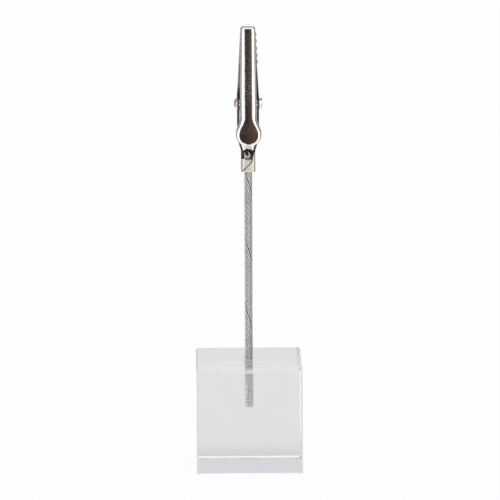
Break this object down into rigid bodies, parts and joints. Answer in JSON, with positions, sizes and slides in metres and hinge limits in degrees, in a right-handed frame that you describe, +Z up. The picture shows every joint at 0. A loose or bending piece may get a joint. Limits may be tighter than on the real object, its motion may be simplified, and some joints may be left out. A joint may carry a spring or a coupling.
{
  "type": "place card holder",
  "caption": "Clear cube base with a twisted wire rope stem that carries a toothed spring clip, jaws up, to hold a place card or photo.",
  "frame": {"origin": "centre of the block's bottom face, on the stem axis", "axes": "+Z up along the stem, -Y to the front, where the thumb jaw faces, +X along the rivet"},
  "size_m": [0.0246, 0.0246, 0.104],
  "materials": {
    "acrylic": "clear cast acrylic, polished",
    "bond": "clear cured adhesive",
    "wire": "drawn steel wire",
    "nickel": "bright nickel plate on stamped steel",
    "spring_steel": "spring wire"
  },
  "bodies": {
    "holder": {"block": "acrylic", "adhesive": "bond", "core_wire": "wire", "inner_wire_1": "wire", "inner_wire_2": "wire", "inner_wire_3": "wire", "inner_wire_4": "wire", "inner_wire_5": "wire", "inner_wire_6": "wire", "outer_wire_1": "wire", "outer_wire_2": "wire", "outer_wire_3": "wire", "outer_wire_4": "wire", "outer_wire_5": "wire", "outer_wire_6": "wire", "outer_wire_7": "wire", "outer_wire_8": "wire", "outer_wire_9": "wire", "outer_wire_10": "wire", "outer_wire_11": "wire", "outer_wire_12": "wire", "fixed_jaw": "nickel", "rivet": "nickel", "spring": "spring_steel"},
    "thumb_lever": {"thumb_jaw": "nickel"}
  },
  "joints": [
    {"name": "jaw_pivot", "type": "hinge", "parent": "holder", "child": "thumb_lever", "pos_m": [0.00001, -0.0006, 0.0856], "axis": [0.9998, 0.0175, 0], "range_deg": [0, 24], "stiffness_Nm_per_rad": 0.11, "deforming": ["spring"]}
  ]
}
